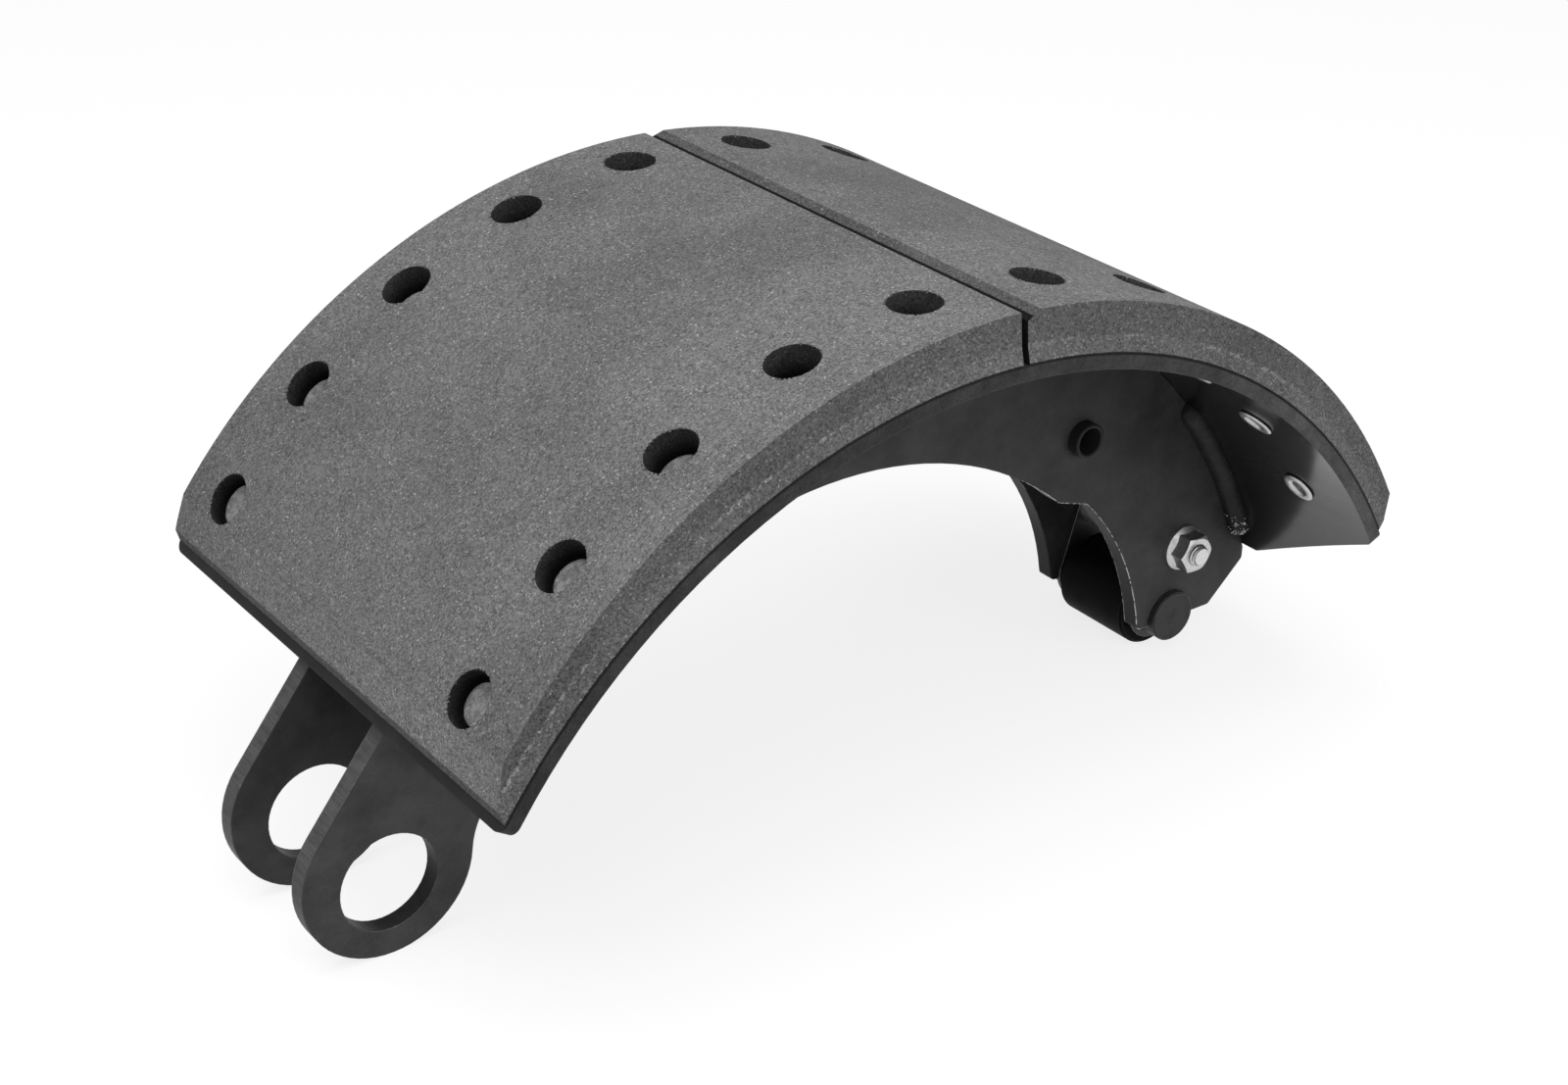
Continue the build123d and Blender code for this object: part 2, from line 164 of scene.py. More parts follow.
# %% [markdown]
# ## Finishes
# Every finish starts from the same few things: where a point is on the shoe, a grain at some size,
# and how close the point is to an edge. The Bevel node answers the last one: it rounds the corner
# for the light only, and where its normal leans away from the real one, there is an edge to wear and
# to carry a painted highlight.
# Shades are numbers from 0 for black to 1 for white, because nothing on the shoe has a hue.

# %% A finish and the measures it is made of
shoe_axis = Vector((168.15, 0, -53.99)) * mm
edge_gain = 7
matt = {"Specular IOR Level": 0.12}


class Finish(Graph):
    """A material, with the measures of the shoe that its patterns follow."""

    def __init__(self, name):
        self.material = bpy.data.materials.new(name)
        self.material.use_nodes = True
        super().__init__(self.material.node_tree)
        self.tree.nodes.clear()
        self.place = self.node("ShaderNodeTexCoord", output="Object")
        self.x = self.parts(self.place)
        self.y = self.x.other("Y")
        self.z = self.x.other("Z")
        self.normal = self.node("ShaderNodeNewGeometry", output="Normal")
        self.facing = self.parts(self.normal)

    def grain(self, size, detail=2.0, roughness=0.5, stretch=(1, 1, 1)):
        """Noise on the shoe itself, drawn out along an axis where stretch is more than 1."""
        place = self.place
        if stretch != (1, 1, 1):
            place = self.vector("DIVIDE", place, list(stretch))
        return self.noise(place, size, detail, roughness)

    def crumbs(self, size):
        """A tone from 0 to 1 for each crumb of a packed powder."""
        cell = self.node("ShaderNodeTexVoronoi", None, {"Vector": self.place, "Scale": 1 / size})
        return self.node("ShaderNodeSeparateColor", None, {0: cell.other("Color")})

    def specks(self, spacing, radius, share):
        """Round specks, 1 inside and 0 outside, in a share of a grid's cells; radius is in cells."""
        cell = self.node("ShaderNodeTexVoronoi", None, {"Vector": self.place, "Scale": 1 / spacing})
        pick = self.node("ShaderNodeSeparateColor", None, {0: cell.other("Color")})
        return pick.math("LESS_THAN", pick, share) * (1 - cell.between(radius * 0.5, radius))

    def outward(self):
        """How far a point is across from the shoe axis, and how far above it."""
        return self.x - shoe_axis.x, self.z - shoe_axis.z

    def shoe_radius(self):
        """Distance from the shoe axis, the centre of the table's curve."""
        across, up = self.outward()
        return (across * across + up * up) ** 0.5

    def rise(self):
        """1 on faces that look out from the shoe axis, -1 on those that look in to it."""
        across, up = self.outward()
        return (self.facing * across + self.facing.other("Z") * up) / self.shoe_radius()

    def angle(self):
        """Degrees round the shoe axis from straight up, more towards the cam."""
        across, up = self.outward()
        return across.math("ARCTAN2", across, up) * (180 / pi)

    def sideways(self):
        """1 on faces that look along the shoe axis, 0 on the curved ones."""
        return self.facing.other("Y").change("ABSOLUTE").between(0.6, 0.85)

    def near(self, centre, reach):
        """1 at a point, fading smoothly to 0 at its reach."""
        distance = self.vector("DISTANCE", self.place, list(centre), output="Value")
        return 1 - distance.between(0.0, reach)

    def edges(self, width):
        """The rounded normal, and a mask of the corners it rounds."""
        rounded = self.node("ShaderNodeBevel", {"samples": 8}, {"Radius": width})
        lean = self.vector("DOT_PRODUCT", rounded, self.normal, output="Value")
        return rounded, ((1 - lean) * edge_gain).limited()

    def mixed(self, mask, plain, marked):
        """A value that goes from plain to marked as a mask goes from 0 to 1."""
        return self.node("ShaderNodeMix", None, {0: mask, 2: plain, 3: marked})

    def surface(self, shade, roughness, height, depth, metallic=0.0, rounded=None, **plain):
        """Wire up the shader, with any plain settings by name, and return the material."""
        bump = {"Height": height, "Distance": depth, "Strength": 1.0}
        if rounded is not None:
            bump["Normal"] = rounded
        inputs = {
            "Base Color": shade,
            "Roughness": roughness,
            "Metallic": metallic,
            "Normal": self.node("ShaderNodeBump", None, bump),
            **plain,
        }
        shader = self.node("ShaderNodeBsdfPrincipled", None, inputs)
        self.node("ShaderNodeOutputMaterial", None, {"Surface": shader})
        print(self.material.name, "with", len(self.tree.nodes), "nodes")
        return self.material


# %% [markdown]
# ## The friction linings
# A lining is pressed from resin, fibre and metal chips and then ground to the drum's curve. One
# grey would look like plastic. What makes it a lining is a fine dark and light grain, bright chips
# of metal here and there, and a lower band on its sides that the grinding wheel never touched.
# The rivet pockets and the narrow gap between the two blocks get painted shade, so their walls are
# darker than the ground face. The sides carry a painted highlight along the top of the band and a
# painted shadow line along their foot, and the anchor end's bevel gets painted light. Masks tell
# these places apart by radius, side and row.

# %% Places on the linings
# Radii from the shoe axis
lining_foot = 202.55 * mm
lining_band_top = lining_foot + 5.2 * mm
pocket_floor = lining_foot + 4.2 * mm
# Places along x where the two blocks part
gap_start = 176.5 * mm
bevel_start = 180.7 * mm
gap_end = 186 * mm
# Degrees round the shoe axis
anchor_end = -52.6
anchor_first_row = -3.0
lining_split = 2.4
cam_first_row = 9.4
row_pitch = 11.75
# The two columns of pockets stand at equal reach from the table's middle, in y
table_middle = 4.6 * mm
column_reach = 73.4 * mm
pocket_radius = 8.6 * mm
print("a gap of", round((gap_end - gap_start) / mm, 1), "mm, rows", row_pitch, "degrees apart")


def pocket_mask(finish, radius, rise, angle):
    """1 on the walls and floors of the pockets; each point is measured from its own row's rivet."""
    column = (finish.y - table_middle).change("ABSOLUTE") - column_reach
    on_cam = angle.between(lining_split, lining_split + 0.1)
    first_row = finish.mixed(on_cam, anchor_first_row, cam_first_row)
    row = ((angle - first_row) / row_pitch + 0.5).change("FRACT") - 0.5
    row = row * (row_pitch * pi / 180) * radius
    from_rivet = (row * row + column * column) ** 0.5
    pocket = 1 - from_rivet.between(pocket_radius, pocket_radius + 0.4 * mm)
    return pocket * (1 - rise.between(0.6, 0.8) * radius.between(pocket_floor, pocket_floor + 2 * mm))


def gap_masks(finish, side, rise):
    """Painted shadow in the gap between the blocks, and painted shade on the cam block's bevel by it."""
    gap_shadow = finish.x.between(gap_start, gap_start + 0.2 * mm) * (1 - side)
    bevel = gap_shadow * (1 - finish.x.between(gap_end, gap_end + mm)) * (1 - rise.between(0.9, 0.96))
    return gap_shadow * (1 - finish.x.between(bevel_start, bevel_start + 0.3 * mm)), bevel


def ridge_highlight_mask(finish, side, radius):
    """A painted highlight: a broken bright line along the sides, where the ground part ends at the band.
    """
    ridge_highlight = side * (1 - (radius - lining_band_top).change("ABSOLUTE").between(0.2 * mm, 0.9 * mm))
    ridge_highlight = ridge_highlight * finish.grain(1.3 * mm, 2.0, 0.7).between(0.5, 0.58)
    return ridge_highlight * finish.grain(28 * mm, 2.0, 0.5).between(0.42, 0.62)


# %% Friction lining
ground_shade = 0.197
side_shade = 0.14
band_shade = 0.165
# Painted shade for the pockets' walls and floors, darkest deep down and lighter near the rim
deep_pocket_shade = 0.006
pocket_rim_shade = 0.05


def make_lining_finish():
    finish = Finish("ground_friction_lining")
    rounded, edge = finish.edges(0.4 * mm)
    fine = finish.grain(0.8 * mm, 3.0, 0.7)
    lumps = finish.grain(3.0 * mm, 2.0, 0.6)
    crumb = finish.crumbs(0.5 * mm)
    cloud = finish.grain(60 * mm, 4.0, 0.6).between(0.4, 0.65)
    # Up to 7 per cent lighter towards the near side, where y is low
    near_side = 1 - finish.y.between(-90 * mm, 70 * mm)
    chips = finish.specks(2.6 * mm, 0.15, 0.2)
    flakes = finish.specks(6.5 * mm, 0.075, 0.55)
    radius = finish.shoe_radius()
    rise = finish.rise()
    angle = finish.angle()
    pocket = pocket_mask(finish, radius, rise, angle)
    side = finish.sideways() * (1 - pocket)
    band = side * (1 - radius.between(lining_band_top - 0.3 * mm, lining_band_top + 0.3 * mm))
    # A painted highlight along the crease at the top of the band
    ridge_highlight = ridge_highlight_mask(finish, side, radius)
    # A painted shadow line along the foot of the sides, where the lining meets the table
    joint_shadow = side * (1 - radius.between(lining_foot + 0.3 * mm, lining_foot + 0.6 * mm))
    # Painted light: the bevel faces at the anchor end are made lighter
    lit_anchor_bevel = rise.between(0.7, 0.8) * (1 - rise.between(0.97, 0.985))
    lit_anchor_bevel = lit_anchor_bevel * (1 - angle.between(anchor_end, anchor_end + 0.8))
    # Painted shadow in the gap, and painted shade on the bevel beside it
    gap_shadow, bevel = gap_masks(finish, side, rise)
    # The pockets get painted shade, darkest at their floors
    dust_and_pocket_shade = radius.between(pocket_floor, pocket_floor + 8 * mm)
    dust_and_pocket_shade = finish.mixed(dust_and_pocket_shade, deep_pocket_shade, pocket_rim_shade)
    base = finish.mixed(side, ground_shade, side_shade)
    base = finish.mixed(band, base, band_shade)
    base = finish.mixed(pocket, base * (1 - bevel * 0.4) * (1 + lit_anchor_bevel * 0.4), dust_and_pocket_shade)
    grit = crumb * 0.8 + fine * 1.6 + lumps * 0.5 - 0.4
    shade = base * grit * (1 - cloud * 0.2 + near_side * 0.07)
    shade = shade + crumb.between(0.965, 0.99) * base * 0.9
    bits = (chips * 0.08 + flakes * 0.3) * (1 - side * 0.5) + edge * fine * 0.05
    shade = shade + bits * (1 - pocket) + ridge_highlight * 0.2
    shade = shade * (1 - joint_shadow * 0.85) * (1 - gap_shadow * 0.93)
    roughness = 0.85 - chips * 0.2 - flakes * 0.4
    height = fine * 0.7 + lumps * (0.5 + band) + flakes * 0.2
    return finish.surface(shade, roughness, height, 0.16 * mm, rounded=rounded, **matt)


finishes = {"friction_lining": make_lining_finish()}

# %% [markdown]
# ## Black paint on steel
# The table, webs and welds are dipped or sprayed black after welding. Paint hides most of the
# steel but not its edges: it thins there, and handling rubs it off. So the paint has a soft
# orange-peel bump and cloudy gloss, its corners show steel where a coarse noise lets them, and
# the cut edges of the thick webs keep the fine lines that the cutting left across them. Inside
# the table, where nothing rubs, the coat is still glossy.

# %% Painted steel
# Ranges along x: the cut edges with painted shade start in the first, and the table's rim gets
# lighter over the second, as painted light
cam_end = (200 * mm, 250 * mm)
flank_run = (200 * mm, 340 * mm)
eye_bore = 18 * mm
outer_shade = 0.03
bare_shade = 0.75


def shaded_edge_mask(finish):
    """1 on the cut edges that get painted shade: in the eyes' bores, and at the cam end."""
    to_pin = (finish.x * finish.x + finish.z * finish.z) ** 0.5
    bore = 1 - to_pin.between(eye_bore, eye_bore + 2 * mm)
    return (finish.x.between(*cam_end) + bore).limited() * (1 - finish.sideways())


def make_paint(
    name,
    shade,
    gloss,
    wear,
    peel=1.6 * mm,
    scuffs=(),
    cut_lines=0.0,
    painted_edge_highlight=0.024,
    flank=None,
    inner_coat=0.0,
):
    """Black paint; flank shades the table's sides, with painted light towards the cam end; inner_coat is
    the gloss inside.
    """
    finish = Finish(name)
    rounded, edge = finish.edges(0.8 * mm)
    cloud = finish.grain(24 * mm, 4.0, 0.65).between(0.3, 0.7)
    skin = finish.grain(peel, 2.0, 0.5)
    dust_and_pocket_shade = finish.grain(4 * mm, 4.0, 0.7).between(0.55, 0.8)
    patch = finish.grain(7 * mm, 3.0, 0.7)
    crumbs = finish.grain(0.9 * mm, 3.0, 0.6)
    lines = finish.grain(0.9 * mm, 3.0, 0.7, stretch=(1, 14, 1)).between(0.3, 0.7)
    lines = lines * (1 - finish.sideways())
    if cut_lines:
        # Painted shade darkens these cut edges and their lines
        shaded_edges = shaded_edge_mask(finish)
        shade = shade * (1 - shaded_edges * 0.7)
        lines = lines * (1 - shaded_edges * 0.8)
    scuff = 0.0
    for centre, reach in scuffs:
        scuff = finish.near(centre, reach) + scuff
    bare = (edge * (patch + crumbs * 0.5 + scuff * 1.1)).between(1.18 - wear, 1.32 - wear)
    bare = bare * finish.grain(2.2 * mm, 2.0, 0.6).between(0.4, 0.52)
    if inner_coat:
        shade = finish.mixed(finish.rise().between(0.5, 0.8), shade, outer_shade)
    if flank is not None:
        # The sides' shade goes lighter towards the cam end as painted light, and their corners get a
        # painted highlight
        flank_tone_and_painted_light = finish.mixed(finish.x.between(*flank_run), *flank) * (crumbs + patch) + edge * 0.05
        # A painted shadow line along the table's rim, just under the linings' foot
        joint_shadow = finish.shoe_radius().between(lining_foot - 0.7 * mm, lining_foot - 0.4 * mm)
        shade = finish.mixed(finish.sideways(), shade, flank_tone_and_painted_light * (1 - joint_shadow * 0.85))
        bare = bare * (1 - joint_shadow)
    mottle = 0.3 + cloud * 0.6 + patch * 0.4 + crumbs * 0.4
    # Corners get a painted highlight, broken up by the patch noise
    colour = shade * mottle + dust_and_pocket_shade * 0.006 + edge * painted_edge_highlight * patch + lines * cut_lines
    colour = finish.mixed(bare, colour, bare_shade)
    roughness = gloss + cloud * 0.1 + dust_and_pocket_shade * 0.1 - bare * 0.08
    height = skin * 0.6 + crumbs * 0.15 + lines * cut_lines * 9 - bare * 0.5
    settings = dict(matt)
    if inner_coat:
        settings["Coat Weight"] = (1 - finish.rise().between(-0.8, -0.5)) * inner_coat
        settings["Coat Roughness"] = 0.17
    return finish.surface(colour, roughness, height, 0.05 * mm, bare * 0.6, rounded, **settings)


# %% Four coats of paint
inner_cam_edge = Vector((298, -26, 8)) * mm
knee_edge = Vector((262, -26, 50)) * mm
tip_edge = Vector((304, -26, -11)) * mm
web_scuffs = ((inner_cam_edge, 40 * mm), (knee_edge, 30 * mm), (tip_edge, 18 * mm))
table_coat = {"flank": (0.05, 0.1), "inner_coat": 0.75}
web_coat = {"scuffs": web_scuffs, "cut_lines": 0.05, "painted_edge_highlight": 0.12}
finishes["table_paint"] = make_paint("table_black_paint", 0.008, gloss=0.5, wear=0.28, **table_coat)
finishes["web_paint"] = make_paint("web_black_paint", 0.078, gloss=0.42, wear=0.34, **web_coat)
finishes["weld_paint"] = make_paint("weld_black_paint", 0.045, gloss=0.34, wear=0.1, peel=2.4 * mm)
finishes["tube_paint"] = make_paint("tube_black_paint", 0.04, gloss=0.36, wear=0.3)

# %% [markdown]
# ## Plated and blacked steel
# The rivets, bolt, nut and spacer are plated, so their colour is mostly what they reflect: a fine
# grain in the roughness breaks that up, with dull stains between. The roller, its pin and the
# retainer are blacked and reflect little. On both kinds the rubbed edges are brighter.

# %% Metal
def make_metal(name, shade, gloss, grain_size, contrast, rub=0.1, metallic=1.0, **plain):
    finish = Finish(name)
    rounded, edge = finish.edges(0.25 * mm)
    grain = finish.grain(grain_size, 3.0, 0.6)
    stain = finish.grain(grain_size * 9, 3.0, 0.6).between(0.5, 0.75)
    colour = shade * (1 - contrast / 2 + grain * contrast) * (1 - stain * contrast * 0.5) + edge * rub
    roughness = gloss + grain * 0.15 + stain * 0.1
    return finish.surface(colour, roughness, grain, 0.03 * mm, metallic, rounded, **plain)


roller_look = {"contrast": 0.5, "rub": 0.3, "metallic": 0.0, "Specular IOR Level": 0.05}
pin_look = {"contrast": 0.5, "rub": 0.3, "metallic": 0.2, "Specular IOR Level": 0.2}
strip_look = {"contrast": 0.4, "rub": 0.5, "metallic": 0.3}
finishes["zinc_plate"] = make_metal("bright_zinc", 0.58, 0.34, grain_size=0.7 * mm, contrast=0.5)
finishes["roller_steel"] = make_metal("dark_roller_steel", 0.006, 0.5, 0.8 * mm, **roller_look)
finishes["pin_steel"] = make_metal("dark_pin_steel", 0.05, 0.42, 0.6 * mm, **pin_look)
finishes["retainer_steel"] = make_metal("dark_strip_steel", 0.05, 0.34, 0.7 * mm, **strip_look)

# %% Metal darker in a thread's grooves, and dusty on a rivet's head
bolt_centre = Vector((324.03, 0, 16.30)) * mm
groove_floor = 3.45 * mm
groove_top = 3.85 * mm
rivet_ring_shade = 0.62
rivet_head_shade = 0.2


def make_thread_finish():
    """Plated steel, darker in the grooves of its thread."""
    finish = Finish("plated_thread")
    rounded = finish.edges(0.1 * mm)[0]
    grain = finish.grain(0.5 * mm, 3.0, 0.6)
    across, up = finish.x - bolt_centre.x, finish.z - bolt_centre.z
    from_axis = (across * across + up * up) ** 0.5
    groove = (1 - from_axis.between(groove_floor, groove_top)) * (1 - finish.sideways())
    shade = (0.4 + grain * 0.5) * (1 - groove * 0.85)
    return finish.surface(shade, 0.3 + grain * 0.2 + groove * 0.3, grain, 0.02 * mm, 1.0, rounded)


def make_rivet_finish():
    """Bright plating on the rolled rims, and a dull grey film of lining powder over the heads in their
    pockets.
    """
    finish = Finish("plated_rivet_steel")
    rounded = finish.edges(0.2 * mm)[0]
    grain = finish.grain(0.8 * mm, 3.0, 0.7)
    patch = finish.grain(3.2 * mm, 3.0, 0.7).between(0.4, 0.62)
    head = finish.shoe_radius().between(lining_foot, lining_foot + 2 * mm)
    shade = finish.mixed(head, rivet_ring_shade - patch * 0.12, rivet_head_shade + patch * 0.14)
    shade = shade * (0.3 + grain * 1.4)
    roughness = 0.3 + grain * 0.15 + head * 0.3
    metallic = 1 - head * 0.85
    return finish.surface(shade, roughness, grain, 0.05 * mm, metallic, rounded)


finishes["rivet_steel"] = make_rivet_finish()

# %% Give every node its finish
for subpart in frame["record"]["subparts"]:
    mesh = nodes[subpart["node"]].data
    mesh.materials.clear()
    mesh.materials.append(finishes[subpart["material_slot"]])
print(len(finishes), "finishes on", len(nodes), "nodes")

# %% [markdown]
# ## Shapes that follow a rule
# A rivet is turned, a thread winds, and a weld bead runs along an arc with a ripple at every
# step. Each could be modelled by hand once and copied. Geometry Nodes state the rule instead, with
# its sizes as named inputs, and the result is kept as a plain mesh.

# %% How the faces of a result are shaded
def shade_faces(mesh, crease):
    """Turn faces outwards and smooth them, but for creased edges and faces marked broken."""
    form = bmesh.new()
    form.from_mesh(mesh)
    bmesh.ops.recalc_face_normals(form, faces=form.faces)
    form.to_mesh(mesh)
    form.free()
    if "custom_normal" in mesh.attributes:
        mesh.attributes.remove(mesh.attributes["custom_normal"])
    mesh.shade_smooth()
    mesh.set_sharp_from_angle(angle=radians(crease))
    if "broken" in mesh.attributes:
        for face, broken in zip(mesh.polygons, mesh.attributes["broken"].data):
            face.use_smooth = not broken.value


# %% A Geometry Nodes tree with named sizes
class Shape(Graph):
    """A tree that runs once on a start mesh and leaves a plain mesh."""

    def __init__(self, name, sizes):
        super().__init__(bpy.data.node_groups.new(name, "GeometryNodeTree"))
        self.sizes = sizes
        self.keys = {}
        interface = self.tree.interface
        interface.new_socket("Start", in_out="INPUT", socket_type="NodeSocketGeometry")
        for label, value in sizes.items():
            kind = "NodeSocketInt" if isinstance(value, int) else "NodeSocketFloat"
            made = interface.new_socket(label, in_out="INPUT", socket_type=kind)
            self.keys[label] = made.identifier
        interface.new_socket("Result", in_out="OUTPUT", socket_type="NodeSocketGeometry")
        self.start = self.node("NodeGroupInput", output="Start")

    def size(self, label):
        return self.start.other(label)

    def random(self, low, high, seed):
        """A number between low and high that differs from point to point."""
        inputs = {2: low, 3: high, "Seed": seed}
        return self.node("FunctionNodeRandomValue", {"data_type": "FLOAT"}, inputs, 1)

    def moved(self, geometry, place):
        return self.node("GeometryNodeSetPosition", None, {"Geometry": geometry, "Position": place})

    def joined_up(self, geometry):
        return self.node("GeometryNodeMergeByDistance", None, {"Geometry": geometry, "Distance": touching})

    def turned(self, drawn, steps, corner):
        """Spin a drawn edge line, x = radius and z = height, into a closed solid."""
        line = self.node("GeometryNodeMeshToCurve", None, {0: drawn})
        rounding = {"Curve": line, "Count": 3, "Radius": corner, "Limit Radius": True}
        line = self.node("GeometryNodeFilletCurve", {"mode": "POLY"}, rounding)
        stops = self.node("GeometryNodeCurveToPoints", {"mode": "EVALUATED"}, {0: line})
        count = self.node("GeometryNodeAttributeDomainSize", {"component": "POINTCLOUD"}, {0: stops})
        sheet = {"Size X": 1.0, "Size Y": 1.0, "Vertices X": count, "Vertices Y": steps + 1}
        sheet = self.node("GeometryNodeMeshGrid", None, sheet)
        place = self.node("GeometryNodeInputPosition")
        spot = self.parts(place)
        order = ((spot + 0.5) * (count - 1)).change("ROUND")
        pick = {"Geometry": stops, "Value": place, "Index": order}
        stop = self.parts(self.node("GeometryNodeSampleIndex", {"data_type": "FLOAT_VECTOR"}, pick))
        turn = (spot.other("Y") + 0.5) * (2 * pi)
        place = self.joined(stop * turn.change("COSINE"), stop * turn.change("SINE"), stop.other("Z"))
        return self.joined_up(self.moved(sheet, place))

    def keep(self, geometry, finish, name, start=None, crease=35):
        """Run the tree on a start mesh and return its result as an object with a plain mesh."""
        solid = self.node("GeometryNodeRealizeInstances", None, {0: geometry})
        solid = self.node("GeometryNodeSetMaterial", None, {"Geometry": solid, "Material": finish})
        self.node("NodeGroupOutput", None, {"Result": solid})
        carrier = bpy.data.objects.new(name, start or bpy.data.meshes.new(name))
        bpy.context.scene.collection.objects.link(carrier)
        modifier = carrier.modifiers.new(name, "NODES")
        modifier.node_group = self.tree
        for label, value in self.sizes.items():
            modifier[self.keys[label]] = value
        evaluated = carrier.evaluated_get(bpy.context.evaluated_depsgraph_get())
        mesh = bpy.data.meshes.new_from_object(evaluated)
        bpy.data.objects.remove(carrier)
        shade_faces(mesh, crease)
        piece = bpy.data.objects.new(name, mesh)
        bpy.context.scene.collection.objects.link(piece)
        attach(piece, "shoe")
        print(name, len(mesh.polygons), "faces")
        return piece


# %% Start meshes for the trees
def drawn_line(name, points):
    """A mesh of edges through points of (radius, height) in millimetres."""
    mesh = bpy.data.meshes.new(name)
    spots = [(radius * mm, 0, height * mm) for radius, height in points]
    mesh.from_pydata(spots, [(i, i + 1) for i in range(len(spots) - 1)], [])
    return mesh


def merged_copy(node):
    """A CAD node's mesh with its loose triangles joined into closed skins."""
    form = bmesh.new()
    form.from_mesh(nodes[node].data)
    bmesh.ops.remove_doubles(form, verts=form.verts, dist=touching)
    return form


# %% [markdown]
# ## Rivets
# Twenty semi-tubular rivets hold the linings. The head sits in its pocket, and the hollow end is
# rolled outward against the inside of the table, which leaves the bright ring seen from below.
# One rivet is drawn as a line and turned. The rule of the rows places it: five rows on each
# lining, two columns, one pitch, and a little spin and squash so that no two are the same.

# %% One rivet, drawn from its head to its rolled end
rivet_line = (
    (0, 207.12),
    (5.3, 207.12),
    (5.7, 207.28),
    (6.9, 207.28),
    (6.9, 205.78),
    (4.0, 205.78),
    (4.0, 197.47),
    (6.35, 197.42),
    (6.35, 196.85),
    (5.4, 196.45),
    (3.9, 196.5),
    (2.8, 197.2),
    (2.7, 203.4),
    (0, 203.9),
)
rivet_drawing = drawn_line("rivet_line", rivet_line)
print("a rivet of", len(rivet_line), "points")


# %% The rule of the rows
def rivet_sites(shape):
    """Points on the shoe axis, one for each rivet, and the turn that each one takes."""
    index = shape.node("GeometryNodeInputIndex")
    rows = shape.size("Rows")
    row = index.change("MODULO", rows)
    group = (index / rows).change("FLOOR")
    column = group.change("MODULO", 2.0)
    lining = (group / 2).change("FLOOR")
    first = shape.size("Anchor First Row") * (1 - lining) + shape.size("Cam First Row") * lining
    angle = (first + row * shape.size("Pitch") * (lining * 2 - 1)) * (pi / 180)
    y = shape.size("Middle") + (column * 2 - 1) * shape.size("Column Reach")
    place = shape.joined(shoe_axis.x, y, shoe_axis.z)
    sites = shape.node("GeometryNodePoints", None, {"Count": rows * 4, "Position": place})
    return sites, shape.joined(0.0, angle, 0.0)


site_sizes = {
    "Rows": 5,
    "Pitch": row_pitch,
    "Anchor First Row": anchor_first_row,
    "Cam First Row": cam_first_row,
    "Middle": table_middle,
    "Column Reach": column_reach,
}
print(site_sizes["Rows"] * 4, "places for rivets")

# %% Rows of rivets
rivets = Shape("rivet_rows", {**site_sizes, "Corner": 0.35 * mm, "Squash": 0.03})
rivet = rivets.turned(rivets.start, steps=36, corner=rivets.size("Corner"))
sites, turns = rivet_sites(rivets)
squash = rivets.size("Squash")
wide = 1 + rivets.random(-1.0, 1.0, 4) * squash
deep = 1 + rivets.random(-1.0, 1.0, 9) * squash
rows = {"Points": sites, "Instance": rivet, "Rotation": turns, "Scale": rivets.joined(wide, deep, 1.0)}
rows = rivets.node("GeometryNodeInstanceOnPoints", None, rows)
spin = rivets.joined(0.0, 0.0, rivets.random(0.0, pi, 2))
rows = rivets.node("GeometryNodeRotateInstances", None, {"Instances": rows, "Rotation": spin})
set_rivets = rivets.keep(rows, finishes["rivet_steel"], "set_rivets", rivet_drawing)
rivet_nodes = [name for name in nodes if "_rivet_" in name]
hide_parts(*rivet_nodes)

# %% [markdown]
# ## Weld beads
# Four fillet beads fix the webs to the table. A bead freezes in steps as the torch moves, so its
# skin has shallow crescents, it swells and thins a little, and it starts and stops round. A tube
# swept along the corner of web and table gives the round, and the crescents are a ripple whose
# phase bends across the bead. The tube's back is held inside the table, so it never comes through.

# %% The centre line of a bead
web_outer_radius = 197.55 * mm
web_outer_face = 26.2 * mm
cam_arc = (49.6, 69.8)
anchor_arc = (-55.0, -41.0)
bead_stops = 240
bead_sides = 28
bead_sizes = {
    "Start Angle": 0.0,
    "End Angle": 0.0,
    "Centre Radius": web_outer_radius - 0.2 * mm,
    "Centre Y": 0.0,
    "Bead Radius": 4.9 * mm,
    "Root Radius": web_outer_radius + 2.4 * mm,
    "Ripple Spacing": 1.9 * mm,
    "Ripple Depth": 0.16 * mm,
    "Wander": 0.5 * mm,
}
print("beads over", round(cam_arc[1] - cam_arc[0], 1), "and", anchor_arc[1] - anchor_arc[0], "degrees")


def bead_line(bead, place):
    """A line along the bead's arc, and the bead's radius on it, which closes round at both ends."""
    centre_radius = bead.size("Centre Radius")
    line = bead.node("GeometryNodeCurvePrimitiveLine", None, {"End": (1.0, 0.0, 0.0)})
    line = bead.node("GeometryNodeResampleCurve", {"mode": "COUNT"}, {"Curve": line, "Count": bead_stops})
    along = bead.node("GeometryNodeSplineParameter")
    span = bead.size("End Angle") - bead.size("Start Angle")
    angle = (bead.size("Start Angle") + span * along) * (pi / 180)
    x = angle.change("SINE") * centre_radius + shoe_axis.x
    z = angle.change("COSINE") * centre_radius + shoe_axis.z
    line = bead.moved(line, bead.joined(x, bead.size("Centre Y"), z))
    length = span * (pi / 180) * centre_radius
    to_end = along.math("MINIMUM", along, 1 - along) * length / bead.size("Bead Radius")
    closing = 1 - to_end.limited()
    swell = (1 - closing * closing).math("SQRT", 1 - closing * closing)
    swell = swell * (0.94 + bead.noise(place, 9 * mm) * 0.12)
    return line, swell * bead.size("Bead Radius")


